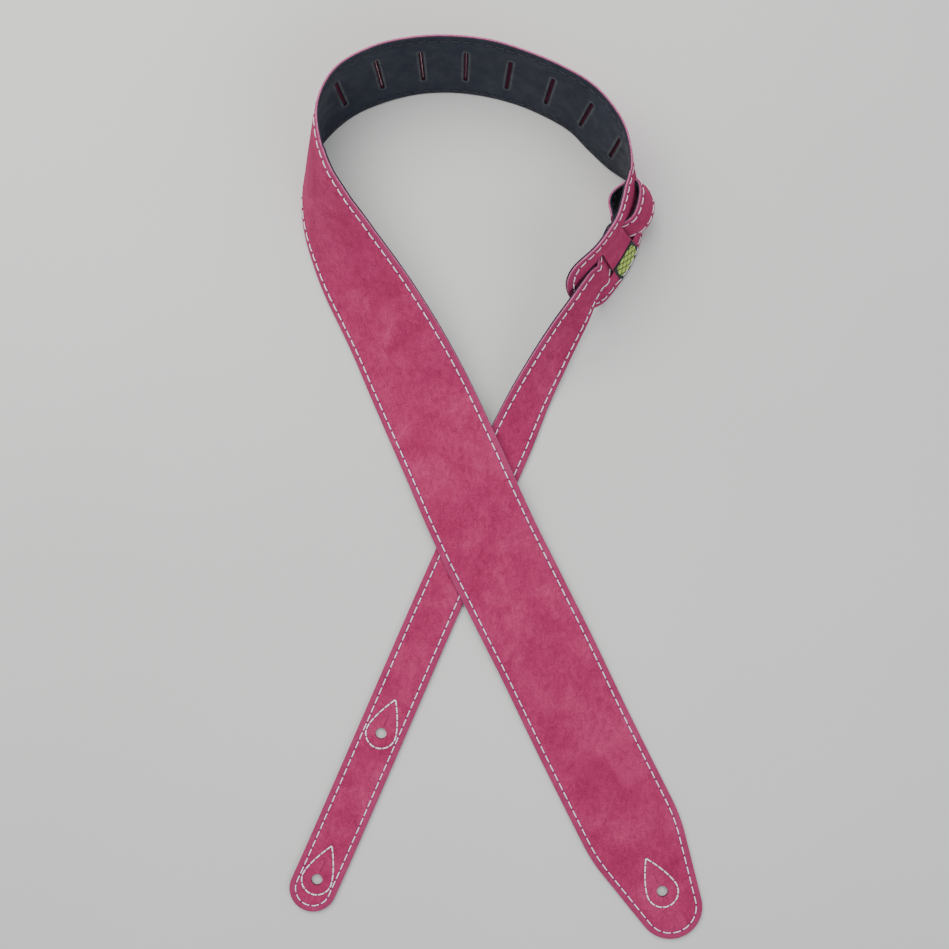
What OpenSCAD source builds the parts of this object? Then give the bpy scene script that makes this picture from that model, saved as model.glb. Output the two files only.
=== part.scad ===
// Two-ply leather guitar strap, laid out in a loop on a table, in millimetres.
// A wide main strap is joined to a narrow tail that is threaded through its slots.
// Every leather ply is a ribbon: a route gives its middle line and its tilt, and
// all the rest is laid out on the flat leather by distance along and across it.
// +Z is up, the table is z = 0, and the origin is the middle of the strap's own box.

/* [Leather] */
// Thickness of the suede ply
suede_thick = 1.5; // [1.2:0.1:2]
// Thickness of the smooth backing ply
backing_thick = 1.0; // [0.8:0.1:1.2]

/* [Main strap] */
// Full width of the main strap
main_width = 63.5; // [60:0.5:66]
// Radius of the nose at the strap button end
nose_radius = 20.5; // [18:0.5:23]
// Angle between the tapered flank and the strap's axis
taper_angle = 12.5; // [11:0.5:15]
// Distance from the nose to the middle of the strap button hole
button_setback = 31.5; // [28:0.5:34]
// Length of the half ellipse that ends the main strap at its slots
tip_round = 20; // [15:1:22]

/* [Adjusting slots] */
// Number of slots
slot_count = 11; // [6:1:11]
// Distance from slot to slot
slot_pitch = 27; // [26.5:0.5:27.5]
// Length of a slot, across the strap
slot_length = 32; // [32:0.5:33]
// Width of a slot that nothing passes through
slot_width = 2; // [1.5:0.5:4]
// Width of a slot held open by the tail
open_slot_width = 6; // [5:0.5:6]
// Distance from the middle of the last slot to the tip
tip_to_slot = 28.5; // [28:0.5:30]

/* [Tail] */
// Width of the tail
tail_width = 30; // [28:0.5:30]
// Width of the tail's inner end, where it has a slot of its own
lock_width = 44; // [43.5:0.5:46]
// Distance from the tail's outer end to the middle of its first button hole
tail_setback = 21; // [19:0.5:24]
// Distance between the tail's two button holes
tail_hole_gap = 101; // [90:1:110]

/* [Strap button holes] */
// Diameter of each hole
hole_d = 7; // [6:0.5:8]
// Length of the slit that lets the button's head through
slit_length = 9; // [6:0.5:11]
// Width of that slit
slit_width = 0.8; // [0.6:0.1:1.2]

/* [Stitching] */
// Distance from the main strap's edge to its stitching
main_inset = 4; // [3.5:0.5:5]
// Distance from the tail's edge to its stitching
tail_inset = 4; // [3.5:0.5:4.5]
// Width of a thread
thread_width = 0.8; // [0.6:0.1:1]
// Height of a thread above the leather
thread_height = 0.4; // [0.3:0.05:0.5]

/* [Label] */
// Size of the woven label along the strap
label_length = 20.5; // [16:0.5:21]
// Size of the woven label across the strap
label_width = 18.5; // [15:0.5:19]
// Thickness of the woven label
label_thick = 0.6; // [0.4:0.1:0.8]

/* [Hidden] */

up = [0, 0, 1];
degrees = 180 / PI;
main_half = main_width / 2;
tail_half = tail_width / 2;
lock_half = lock_width / 2;
// Half the length over which the tapered flanks ease into the full width
taper_ease = 12;
// Clear height between the leather and a thread, and between the leather and the label
thread_gap = 0.05;
label_gap = 0.15;
// The line sewn round a button hole: distance from the hole to its point, fullness of
// its sides (1 is straight), radius on the main strap, and gap to the tail's edge stitching
drop_reach = 23.4;
drop_fullness = 1.5;
main_drop_radius = 10;
drop_clear = 0.6;
tail_drop_radius = tail_half - tail_inset - thread_width - drop_clear;
// Distance from the label to the main strap's edge, and from the label's ends to where
// the stitching over it comes down
label_margin = 1.2;
label_lead = 1;
// Distance along the main strap at which it starts to lift from the table
curl_start = 258;
// The tail's inner end: its own slot, its rounded corners, where it narrows, and where
// the threaded part is over, as distances from that end
lock_slit_at = 9;
lock_round = 5.5;
lock_taper = [16, 32];
threaded_end = 150;

// Points on a curve from one stop of a route to the next, and the step for a direction
main_fineness = 10;
tail_fineness = 20;
tiny = 0.01;
// Least bow, in degrees per mm, that is not taken as flat
least_bow = 0.001;
// Distance of the first and last stations from a ribbon's ends, and from one run of
// stations to the next
end_step = 0.1;
run_gap = 10;
// Stations of the main strap's nose, flanks, flat part, loop and tip
nose_steps = 5;
flank_steps = 6;
flat_steps = 5;
loop_steps = 21;
tip_steps = 7;
// Stations of the tail's corners, threaded part, free part and round end
corner_steps = 3;
threaded_steps = 60;
free_steps = 22;
tail_end_steps = 5;
// Points on the round part and on each side of the line round a button hole
drop_steps = 10;
// Sides of a hole's cutter, its depth under the origin and its height
hole_sides = 64;
cutter_depth = 5;
cutter_height = 20;
// Middle of the lying strap's box, in the coordinates of the routes
box_middle = [13.5, -16.5, -thread_gap - thread_height];

// The main strap's middle line, from its button end round the loop to its tip:
// x, y, tilt of the width from level (90 is on edge, suede outwards),
// bow across the width in degrees, and height of the lower edge off the table.
main_route = [
    [133, -292, 0, 0, 0], [103, -232, 0, 0, 0], [71, -168, 0, 0, 0],
    [47, -118, 0, 0, 1.5], [34, -92, 0, 0, 3.4], [21, -66, 0, 0, 3.6],
    [9, -42, 2, 0, 3.6], [-3, -16, 6, 0, 3.4], [-14, 9, 10, 0, 2],
    [-29, 42, 15, 0, 0], [-39, 63, 21, 0, 0], [-49, 83, 28, 0, 0],
    [-60, 103, 34, 0, 0], [-71.5, 122, 40, 2, 0], [-82, 140.5, 48, 4, 0],
    [-92, 159.5, 57, 8, 0], [-99, 180, 68, 12, 0], [-100, 201, 80, 14, 0],
    [-94, 220.5, 93, 12, 0], [-79.5, 236.5, 102, 8, 0], [-58, 246, 105, 4, 0],
    [-36, 250.5, 105, 2, 0], [-14, 251, 105, 0, 0], [8, 248.5, 105, 0, 0],
    [29, 242.5, 104, 0, 0], [48, 234.5, 104, 0, 0], [65, 224.5, 104, 0, 0],
    [77.5, 211.5, 103, 0, 0], [87.5, 200, 98, 4, 0], [95.5, 188, 87, 8, 0],
    [99, 176, 76, 7, 0], [98, 163, 72, 3, 0], [93.4, 150.6, 71, -3, 0],
    [87, 139.6, 69, -7, 0], [80, 129.7, 68, -8, 0], [72, 120.3, 66, -6, 0],
    [65, 112.6, 63, -2, 0], [59.8, 107.2, 60, 0, 0]];

// The tail where it is threaded, from its inner end: distance along the main strap
// from the last slot but one, height above (+) or below (-) the main strap, and
// lean of the tail's width away from the main strap's, in degrees.
threaded_route = [
    [10.5, -2.7, 0], [4, -3.4, 0], [-4, -8.5, 0], [-12, -12, 0], [-20, -11.4, 0], [-26, -7, 0],
    [-28.5, 0, 0], [-26, 3.5, 2], [-20, 6, 6], [-12, 6.2, 6], [-5, 4.4, 2], [0, 0, 0],
    [4.5, -5.4, 0], [10, -5.4, 0], [16, -4.2, 0], [21, -3.6, 0], [27, 0, 0],
    [31.5, 3.6, 0], [38, 3.2, 0]];

// The free length of the tail: x, y, tilt and height of its lower edge.
free_route = [
    [65, 103.5, 60, 14], [56, 88, 51, 8], [46, 70, 42, 3], [34, 47, 31, 0],
    [22, 20, 14, 0], [9, -9, 3, 0], [-4, -38, 0, 0], [-28, -92, 0, 0],
    [-61, -168, 0, 0], [-92, -239, 0, 0], [-108.5, -275.5, 0, 0]];

// ---- curves ----
function unit(v) = v / norm(v);

// Point at t on the smooth curve through the points p
function curve(p, t) =
    let (last = len(p) - 1, i = max(0, min(last - 1, floor(t))), f = t - i,
         b = p[i], c = p[i + 1],
         a = i > 0 ? p[i - 1] : 2 * b - c,
         d = i + 2 <= last ? p[i + 2] : 2 * c - b)
    (2 * b + (c - a) * f + (2 * a - 5 * b + 4 * c - d) * f * f
     + (3 * b - a - 3 * c + d) * f * f * f) / 2;

// Table of [distance along, t] for a list of [t, point]
function distances(p, i = 0, s = 0, out = []) =
    i == len(p) ? out
    : let (here = i == 0 ? 0 : s + norm(p[i][1] - p[i - 1][1]))
      distances(p, i + 1, here, concat(out, [[here, p[i][0]]]));

// ---- frames: [middle, along, across, out of the suede, bow in degrees per mm] ----
function frame(middle, along, across, bow = 0) =
    let (t = unit(along), n = unit(cross(t, across))) [middle, t, cross(n, t), n, bow];

// Point on a frame, w across it and a out of the join between the two plies
function on_frame(f, w, a) =
    abs(f[4]) < least_bow ? f[0] + w * f[2] + a * f[3]
    : let (g = f[4] * w, r = degrees / f[4])
      f[0] + (r * sin(g) + a * sin(g)) * f[2] + (r * (cos(g) - 1) + a * cos(g)) * f[3];

// ---- main strap ----
// Height of the middle above a table that the lower edge rests on
function rest_height(tilt, bow_angle, half) =
    let (k = bow_angle / half, r = abs(k) < least_bow ? 0 : degrees / k,
         out = r == 0 ? half : r * sin(bow_angle),
         down = r == 0 ? 0 : r * (cos(bow_angle) - 1),
         edge = cos(tilt + bow_angle))
    out * sin(tilt) - down * cos(tilt) + max(backing_thick * edge, -suede_thick * edge);
function main_middle(t) =
    let (q = curve(main_route, t))
    [q[0], q[1], rest_height(q[2], q[3], main_half) + q[4]] - box_middle;
function main_frame_t(t) =
    let (q = curve(main_route, t), along = main_middle(t + tiny) - main_middle(t - tiny),
         side = unit([-along[1], along[0], 0]))
    frame(main_middle(t), along, cos(q[2]) * side - sin(q[2]) * up, q[3] / main_half);
main_steps = main_fineness * (len(main_route) - 1);
main_table = distances([for (i = [0:main_steps])
                        let (t = i / main_fineness) [t, main_middle(t)]]);
main_length = main_table[main_steps][0];
function main_frame(s) = main_frame_t(lookup(s, main_table));

function slot_at(k) = main_length - tip_to_slot - slot_pitch * (slot_count - k);
lock_slot = slot_at(slot_count - 1);
label_middle = lock_slot + slot_pitch / 2;
function slot_half(k) = (k > slot_count - 3 ? open_slot_width : slot_width) / 2;

// Distance from a nose of radius r to where straight flanks would reach the full half width
function flank_end(r, full) = r + (full - r / cos(taper_angle)) / tan(taper_angle);
// Half width of an end with a round nose and tapered flanks that ease into the full width
function nose_half(d, r, full) =
    let (slope = tan(taper_angle), short = flank_end(r, full) - d)
    d < r * (1 - sin(taper_angle)) ? sqrt(max(0, 2 * r * d - d * d))
    : short > taper_ease ? full - short * slope
    : short > -taper_ease ? full - slope * pow(short + taper_ease, 2) / (4 * taper_ease)
    : full;
// Half width of an end that is half an ellipse
function oval_half(d, length, full) =
    d >= length ? full : full * sqrt(max(0, 1 - pow(1 - d / length, 2)));
// Half width of the main strap at s, or of a line that runs inset from its edge
function main_half_at(s, inset = 0) = min(
    nose_half(s - inset, nose_radius - inset, main_half - inset),
    oval_half(main_length - s - inset, tip_round - inset, main_half - inset));

function spread(a, b, n) = [for (i = [0:n]) a + (b - a) * i / n];
function round_steps(length, n) = [for (i = [1:n]) length * (1 - cos(90 * i / n))];
function reversed(list) = [for (i = [len(list) - 1:-1:0]) list[i]];
function between(list, lo, hi) = [for (x = list) if (x > lo && x < hi) x];

main_stations = let (full_at = flank_end(nose_radius, main_half) + taper_ease,
                     first = slot_at(1) - slot_half(1),
                     last = slot_at(slot_count) + slot_half(slot_count))
    concat([end_step], round_steps(nose_radius, nose_steps),
        spread(nose_radius + run_gap, full_at, flank_steps),
        spread(full_at + 2 * run_gap, curl_start - 2 * run_gap, flat_steps),
        spread(curl_start, first - run_gap, loop_steps),
        [for (k = [1:slot_count]) each [
            slot_at(k) - slot_half(k), slot_at(k) + slot_half(k),
            if (k < slot_count) slot_at(k) + slot_pitch / 2]],
        [(last + main_length - tip_round) / 2],
        [for (d = reversed(round_steps(tip_round, tip_steps))) main_length - d],
        [main_length - end_step]);
stitch_row = (main_half - main_inset) / main_half;
slot_row = slot_length / main_width;
main_rows = [-1, -stitch_row, -slot_row, 0, slot_row, stitch_row, 1];
function in_slot(s, k) = abs(s - slot_at(k)) < slot_half(k);
function main_open(s, row) =
    abs(row) < slot_row
    && len([for (k = [1:slot_count]) if (in_slot(s, k)) k]) > 0;

// ---- tail ----
function threaded_station(p) =
    let (f = main_frame(lock_slot + p[0]))
    [f[0] + p[1] * f[3], cos(p[2]) * f[2] + sin(p[2]) * f[3]];
function free_station(i) =
    let (q = free_route[i], last = len(free_route) - 1,
         go = free_route[min(last, i + 1)] - free_route[max(0, i - 1)],
         side = unit([-go[1], go[0], 0]))
    [[q[0], q[1], rest_height(q[2], 0, tail_half) + q[3]] - box_middle,
     cos(q[2]) * side - sin(q[2]) * up];
tail_stops = concat([for (p = threaded_route) threaded_station(p)],
                    [for (i = [0:len(free_route) - 1]) free_station(i)]);
tail_middles = [for (q = tail_stops) q[0]];
tail_sides = [for (q = tail_stops) q[1]];
function tail_frame_t(t) =
    frame(curve(tail_middles, t),
          curve(tail_middles, t + tiny) - curve(tail_middles, t - tiny),
          curve(tail_sides, t));
tail_steps = tail_fineness * (len(tail_stops) - 1);
tail_table = distances([for (i = [0:tail_steps])
                        let (t = i / tail_fineness) [t, curve(tail_middles, t)]]);
tail_length = tail_table[tail_steps][0];
function tail_frame(s) = tail_frame_t(lookup(s, tail_table));

// Half width of the tail's inner part, which is wide and narrows before it goes on
function lock_half_at(s) = s < lock_taper[0] ? lock_half
    : s > lock_taper[1] ? tail_half
    : tail_half + (lock_half - tail_half)
      * (1 + cos(180 * (s - lock_taper[0]) / (lock_taper[1] - lock_taper[0]))) / 2;
function tail_half_at(s, inset = 0) = min(
    oval_half(s - inset, lock_round, lock_half_at(s) - inset),
    oval_half(tail_length - s - inset, tail_half - inset, tail_half - inset));
tail_stations = concat(
    [end_step], round_steps(lock_round, corner_steps),
    [lock_slit_at - open_slot_width / 2, lock_slit_at + open_slot_width / 2],
    spread(lock_taper[0], threaded_end, threaded_steps),
    spread(threaded_end + tail_half, tail_length - tail_setback, free_steps),
    [for (d = reversed(round_steps(tail_half, tail_end_steps))) tail_length - d],
    [tail_length - end_step]);
lock_row = slot_length / lock_width;
tail_rows = [-1, -lock_row, 0, lock_row, 1];
function tail_open(s, row) =
    abs(row) < lock_row && abs(s - lock_slit_at) < open_slot_width / 2;

// ---- solids ----
// A closed sheet from lists of rings of points above and below; open(i, j) leaves a cell out
module sheet(above, below, open) {
    rings = len(above);
    rows = len(above[0]);
    count = rings * rows;
    kept = [for (i = [0:rings - 2]) [for (j = [0:rows - 2]) !open[i][j]]];
    solid_at = function (i, j)
        i >= 0 && j >= 0 && i < rings - 1 && j < rows - 1 && kept[i][j];
    at = function (i, j, under) i * rows + j + (under ? count : 0);
    wall = function (a, b) [[a[0], b[0], b[1]], [a[0], b[1], a[1]]];
    post = function (i, j) [at(i, j, false), at(i, j, true)];
    faces = [for (i = [0:rings - 2]) for (j = [0:rows - 2]) if (kept[i][j]) each concat(
        [[at(i, j, false), at(i, j + 1, false), at(i + 1, j + 1, false)],
         [at(i, j, false), at(i + 1, j + 1, false), at(i + 1, j, false)],
         [at(i, j, true), at(i + 1, j + 1, true), at(i, j + 1, true)],
         [at(i, j, true), at(i + 1, j, true), at(i + 1, j + 1, true)]],
        solid_at(i, j - 1) ? [] : wall(post(i, j), post(i + 1, j)),
        solid_at(i, j + 1) ? [] : wall(post(i + 1, j + 1), post(i, j + 1)),
        solid_at(i - 1, j) ? [] : wall(post(i, j + 1), post(i, j)),
        solid_at(i + 1, j) ? [] : wall(post(i + 1, j), post(i + 1, j + 1)))];
    polyhedron([for (ring = concat(above, below)) each ring], faces, convexity = 10);
}

module main_ply(low, high) {
    frames = [for (s = main_stations) main_frame(s)];
    n = len(main_stations);
    ply = function (a) [for (i = [0:n - 1])
        [for (row = main_rows) on_frame(frames[i], row * main_half_at(main_stations[i]), a)]];
    sheet(ply(high), ply(low), [for (i = [0:n - 2])
        [for (j = [0:len(main_rows) - 2])
            main_open((main_stations[i] + main_stations[i + 1]) / 2,
                      (main_rows[j] + main_rows[j + 1]) / 2)]]);
}

module tail_ply(low, high) {
    frames = [for (s = tail_stations) tail_frame(s)];
    n = len(tail_stations);
    ply = function (a) [for (i = [0:n - 1])
        [for (row = tail_rows) on_frame(frames[i], row * tail_half_at(tail_stations[i]), a)]];
    sheet(ply(high), ply(low), [for (i = [0:n - 2])
        [for (j = [0:len(tail_rows) - 2])
            tail_open((tail_stations[i] + tail_stations[i + 1]) / 2,
                      (tail_rows[j] + tail_rows[j + 1]) / 2)]]);
}

// Height that a thread at [s, w] on the main strap is raised by, to pass over the label
function over_label(q) =
    q[1] > 0 && abs(q[0] - label_middle) < label_length / 2 + label_lead
    ? label_thick + thread_gap : 0;

// A thread laid round a closed line of [s, w] on a ribbon, between two heights
module thread(line, ribbon_frame, low, high, raise = function (q) 0) {
    n = len(line);
    rings = [for (i = [0:n - 1])
        let (go = line[(i + 1) % n] - line[(i + n - 1) % n],
             side = thread_width / 2 * unit([-go[1], go[0]]),
             left = line[i] + side, right = line[i] - side, lift = raise(line[i]),
             fl = ribbon_frame(left[0]), fr = ribbon_frame(right[0]))
        [on_frame(fl, left[1], low + lift), on_frame(fl, left[1], high + lift),
         on_frame(fr, right[1], high + lift), on_frame(fr, right[1], low + lift)]];
    faces = [for (i = [0:n - 1]) for (j = [0:3])
        let (a = 4 * i + j, b = 4 * i + (j + 1) % 4,
             c = 4 * ((i + 1) % n) + (j + 1) % 4, d = 4 * ((i + 1) % n) + j)
        each [[a, b, c], [a, c, d]]];
    polyhedron([for (ring = rings) each ring], faces, convexity = 10);
}
// The same thread above the suede, and below the backing
module top_thread(line, ribbon_frame, raise = function (q) 0) {
    low = suede_thick + thread_gap;
    color("#f3e9ee") thread(line, ribbon_frame, low, low + thread_height, raise);
}
module under_thread(line, ribbon_frame) {
    high = -backing_thick - thread_gap;
    color("#2a2d36") thread(line, ribbon_frame, high - thread_height, high);
}

// Closed line of [s, w] from the stations s and the half widths there
function outline_line(s, half) = let (n = len(s)) concat(
    [for (i = [0:n - 1]) [s[i], half[i]]],
    reversed([for (i = [1:n - 2]) [s[i], -half[i]]]));
// Line round a button hole at s, with its point towards way, +1 or -1
function teardrop_line(s, way, radius) =
    let (side = [for (i = [0:drop_steps]) let (f = 1 - i / drop_steps)
                 [s + way * drop_reach * f, radius * (1 - pow(f, drop_fullness))]],
         round_part = [for (i = [1:drop_steps - 1]) let (g = 90 + 180 * i / drop_steps)
                       [s + way * radius * cos(g), radius * sin(g)]],
         back = [for (i = [drop_steps:-1:1]) [side[i][0], -side[i][1]]])
    concat(side, round_part, back);

main_thread_s = concat(
    [for (d = concat([0], round_steps(nose_radius - main_inset, nose_steps))) main_inset + d],
    between(main_stations, nose_radius + run_gap / 2, main_length - tip_round),
    [for (d = reversed(concat([0], round_steps(tip_round - main_inset, tip_steps))))
        main_length - main_inset - d]);
main_thread_line = outline_line(main_thread_s,
    [for (s = main_thread_s) main_half_at(s, main_inset)]);
tail_thread_s = concat(
    [for (d = concat([0], round_steps(lock_round, corner_steps))) tail_inset + d],
    between(tail_stations, lock_round + run_gap, tail_length - tail_half),
    [for (d = reversed(concat([0], round_steps(tail_half - tail_inset, tail_end_steps))))
        tail_length - tail_inset - d]);
tail_thread_line = outline_line(tail_thread_s,
    [for (s = tail_thread_s) tail_half_at(s, tail_inset)]);

tail_end_hole_at = tail_length - tail_setback;
tail_inner_hole_at = tail_end_hole_at - tail_hole_gap;

// Round hole through both plies where the strap lies flat, with its slit towards way
module button_hole(f, way) {
    direction = way * f[1];
    translate([f[0][0], f[0][1], -cutter_depth]) {
        cylinder(h = cutter_height, d = hole_d, $fn = hole_sides);
        rotate(atan2(direction[1], direction[0]))
            translate([0, -slit_width / 2, 0])
                cube([hole_d / 2 + slit_length, slit_width, cutter_height]);
    }
}
module main_holes() button_hole(main_frame(button_setback), 1);
module tail_holes() {
    button_hole(tail_frame(tail_end_hole_at), -1);
    button_hole(tail_frame(tail_inner_hole_at), -1);
}

// ---- the pieces ----
module main_suede() color("#a8395a") difference() {
    main_ply(0, suede_thick);
    main_holes();
}
module main_backing() color("#20242e") difference() {
    main_ply(-backing_thick, 0);
    main_holes();
}
main_on = function (s) main_frame(s);
module main_top_thread() top_thread(main_thread_line, main_on, function (q) over_label(q));
module main_under_thread() under_thread(main_thread_line, main_on);
main_drop = teardrop_line(button_setback, 1, main_drop_radius);
module main_hole_top_thread() top_thread(main_drop, main_on);
module main_hole_under_thread() under_thread(main_drop, main_on);

module tail_suede() color("#a03556") difference() {
    tail_ply(0, suede_thick);
    tail_holes();
}
module tail_backing() color("#20242e") difference() {
    tail_ply(-backing_thick, 0);
    tail_holes();
}
tail_on = function (s) tail_frame(s);
module tail_top_thread() top_thread(tail_thread_line, tail_on);
module tail_under_thread() under_thread(tail_thread_line, tail_on);
tail_end_drop = teardrop_line(tail_end_hole_at, -1, tail_drop_radius);
module tail_end_hole_top_thread() top_thread(tail_end_drop, tail_on);
module tail_end_hole_under_thread() under_thread(tail_end_drop, tail_on);
tail_inner_drop = teardrop_line(tail_inner_hole_at, -1, tail_drop_radius);
module tail_inner_hole_top_thread() top_thread(tail_inner_drop, tail_on);
module tail_inner_hole_under_thread() under_thread(tail_inner_drop, tail_on);

// Patch sewn to the suede beside the last slots, under the edge stitching
module woven_label() {
    edge = main_half - label_margin;
    rings = [for (k = [-1, 0, 1]) main_frame(label_middle + k * label_length / 2)];
    widths = [edge - label_width, slot_length / 2, main_half - main_inset, edge];
    face = function (a) [for (f = rings) [for (w = widths) on_frame(f, w, a)]];
    color("#1d2226")
        sheet(face(suede_thick + label_thick), face(suede_thick + label_gap),
              [for (i = [0, 1]) [false, false, false]]);
}

main_suede();
main_backing();
main_top_thread();
main_under_thread();
main_hole_top_thread();
main_hole_under_thread();
tail_suede();
tail_backing();
tail_top_thread();
tail_under_thread();
tail_end_hole_top_thread();
tail_end_hole_under_thread();
tail_inner_hole_top_thread();
tail_inner_hole_under_thread();
woven_label();
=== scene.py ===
import math

import bpy
import numpy as np
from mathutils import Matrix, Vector
from mathutils.geometry import delaunay_2d_cdt
from mathutils.kdtree import KDTree


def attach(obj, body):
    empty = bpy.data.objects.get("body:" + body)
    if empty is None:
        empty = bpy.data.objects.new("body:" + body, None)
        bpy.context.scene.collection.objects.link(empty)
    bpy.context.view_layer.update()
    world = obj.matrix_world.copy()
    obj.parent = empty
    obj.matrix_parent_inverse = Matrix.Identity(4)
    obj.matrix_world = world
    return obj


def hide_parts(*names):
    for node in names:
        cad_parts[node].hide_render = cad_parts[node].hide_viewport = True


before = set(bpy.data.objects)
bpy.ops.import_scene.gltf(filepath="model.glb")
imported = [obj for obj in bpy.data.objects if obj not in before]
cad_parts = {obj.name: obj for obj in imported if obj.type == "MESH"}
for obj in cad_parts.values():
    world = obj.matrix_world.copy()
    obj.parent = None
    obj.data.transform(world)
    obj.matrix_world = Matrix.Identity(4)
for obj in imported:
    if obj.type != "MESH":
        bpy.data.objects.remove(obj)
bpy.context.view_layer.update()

# Lengths are in millimetres until a mesh is made. The sizes and routes are those of the part's
# source, but here the nap nearly closes the slits and the free slots.
MM = 0.001

# ---- sizes of the strap ----
SUEDE, BACKING = 1.5, 1.0
MAIN_HALF, TAIL_HALF, LOCK_HALF = 31.75, 15.0, 22.0
NOSE_RADIUS, TAPER, TAPER_EASE, TIP_ROUND = 20.5, math.radians(12.5), 12.0, 20.0
LOCK_ROUND, LOCK_TAPER = 5.5, (16.0, 32.0)
# The last HELD_OPEN slots hold the tail, and the others are free.
SLOTS, HELD_OPEN, PITCH, TIP_TO_SLOT, LOCK_SLIT = 11, 3, 27.0, 28.5, 9.0
SLOT_LENGTH, SLOT_WIDTH, OPEN_WIDTH, SLOT_CORNER = 32.0, 2.0, 6.0, 1.5
BUTTON_SETBACK, TAIL_SETBACK, HOLE_GAP = 31.5, 21.0, 101.0
HOLE_R, SLIT_LENGTH, SLIT_WIDTH = 3.5, 9.0, 0.12
NAP_GAP = 0.12                       # what the nap leaves of a free slot in the suede
CUT_ROUND, HOLE_ROUND = {"suede": 0.42, "lining": 0.28}, 0.15
LABEL_LENGTH, LABEL_WIDTH, LABEL_THICK, LABEL_MARGIN = 20.5, 18.5, 0.6, 1.2
RIPPLE = 0.10                        # height of the leather's unevenness
SEAM_DENT, EDGE_DENT = 0.8, 1.6      # reach of a dent from a seam and from the cut edge

# ---- seams: a stitch is its pitch and the share of the pitch that shows ----
MAIN_INSET, TAIL_INSET = 4.0, 4.0
DROP_REACH, DROP_FULLNESS, MAIN_DROP, TAIL_DROP = 23.4, 1.5, 10.0, 9.6
MAIN_STITCH, TAIL_STITCH, DROP_STITCH = (6.45, 0.84), (6.2, 0.84), (4.6, 0.95)
EDGE_THREAD_R, DROP_THREAD_R, BOBBIN_R = 0.35, 0.44, 0.28
NEEDLE_SINK, BOBBIN_SINK = 0.05, 0.12
STITCH_RINGS, STITCH_SIDES = 11, 10
THREAD_GAP, THREAD_HEIGHT = 0.05, 0.4

# ---- spacing of points on the flat leather ----
# The grid's points keep off the finer lines, by a share of GRID, and all points off the edges.
GRID, KEEP_OFF_LINES, KEEP_OFF_EDGES = 2.4, 0.6, 0.45
SEAM_SHIFTS, SEAM_SPACING = (-1.1, -0.5, 0, 0.5, 1.1), 1.05
HOLE_SHIFTS, HOLE_SPACING = (0.5, 1.2, 2.0, 3.0), 1.2
CUT_SPACING, SLOT_SPACING, STITCH_LINE_SPACING = 1.6, 0.8, 0.5
END_REACH, END_STATIONS = 15, 60     # stations are closest together at a strap's ends
SEAM_FINE, CUT_FINE = 0.4, 0.5       # for distances to a seam and to the cut edge
FLAT_UV, THREAD_UV = 100, 10         # millimetres of leather or of thread to one unit of UV
NUDGE = 0.01                         # step along a route for its direction
NO_BOW, TINY = 1e-5, 1e-6            # a curvature or a distance below these counts as none

# The origin of the frame, in the routes' coordinates.
BOX_MIDDLE = np.array([13.5, -16.5, -THREAD_GAP - THREAD_HEIGHT])

# x, y, tilt of the width, bow across it, and height of the lower edge off the table
MAIN_ROUTE = np.array([
    [133, -292, 0, 0, 0], [103, -232, 0, 0, 0], [71, -168, 0, 0, 0],
    [47, -118, 0, 0, 1.5], [34, -92, 0, 0, 3.4], [21, -66, 0, 0, 3.6],
    [9, -42, 2, 0, 3.6], [-3, -16, 6, 0, 3.4], [-14, 9, 10, 0, 2],
    [-29, 42, 15, 0, 0], [-39, 63, 21, 0, 0], [-49, 83, 28, 0, 0],
    [-60, 103, 34, 0, 0], [-71.5, 122, 40, 2, 0], [-82, 140.5, 48, 4, 0],
    [-92, 159.5, 57, 8, 0], [-99, 180, 68, 12, 0], [-100, 201, 80, 14, 0],
    [-94, 220.5, 93, 12, 0], [-79.5, 236.5, 102, 8, 0], [-58, 246, 105, 4, 0],
    [-36, 250.5, 105, 2, 0], [-14, 251, 105, 0, 0], [8, 248.5, 105, 0, 0],
    [29, 242.5, 104, 0, 0], [48, 234.5, 104, 0, 0], [65, 224.5, 104, 0, 0],
    [77.5, 211.5, 103, 0, 0], [87.5, 200, 98, 4, 0], [95.5, 188, 87, 8, 0],
    [99, 176, 76, 7, 0], [98, 163, 72, 3, 0], [93.4, 150.6, 71, -3, 0],
    [87, 139.6, 69, -7, 0], [80, 129.7, 68, -8, 0], [72, 120.3, 66, -6, 0],
    [65, 112.6, 63, -2, 0], [59.8, 107.2, 60, 0, 0]], float)
# along the main strap from the last slot but one, height off it, and lean, in degrees
THREADED = [
    [10.5, -2.7, 0], [4, -3.4, 0], [-4, -8.5, 0], [-12, -12, 0], [-20, -11.4, 0], [-26, -7, 0],
    [-28.5, 0, 0], [-26, 3.5, 2], [-20, 6, 6], [-12, 6.2, 6], [-5, 4.4, 2], [0, 0, 0],
    [4.5, -5.4, 0], [10, -5.4, 0], [16, -4.2, 0], [21, -3.6, 0], [27, 0, 0],
    [31.5, 3.6, 0], [38, 3.2, 0]]
# x, y, tilt and height of the lower edge off the table
FREE_ROUTE = np.array([
    [65, 103.5, 60, 14], [56, 88, 51, 8], [46, 70, 42, 3], [34, 47, 31, 0],
    [22, 20, 14, 0], [9, -9, 3, 0], [-4, -38, 0, 0], [-28, -92, 0, 0],
    [-61, -168, 0, 0], [-92, -239, 0, 0], [-108.5, -275.5, 0, 0]], float)

# ---- floor, lights and camera, in metres ----
FLOOR_HALF = 3
SKY_LIGHT = dict(place=(-0.35, 0.6, 1.0), aim=(-0.05, 0.1, 0), size=1.2, power=18.8,
                 colour=(1.0, 0.99, 0.97))
FILL_LIGHT = dict(place=(1.1, -0.9, 1.3), aim=(0, 0, 0), size=1.4, power=12,
                  colour=(0.96, 0.98, 1.0))
ROOM_COLOUR, ROOM_STRENGTH = (0.82, 0.85, 0.9, 1), 0.62
CAMERA_HEIGHT, VIEW_HALF, SENSOR = 0.900, 0.3013, 36


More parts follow.
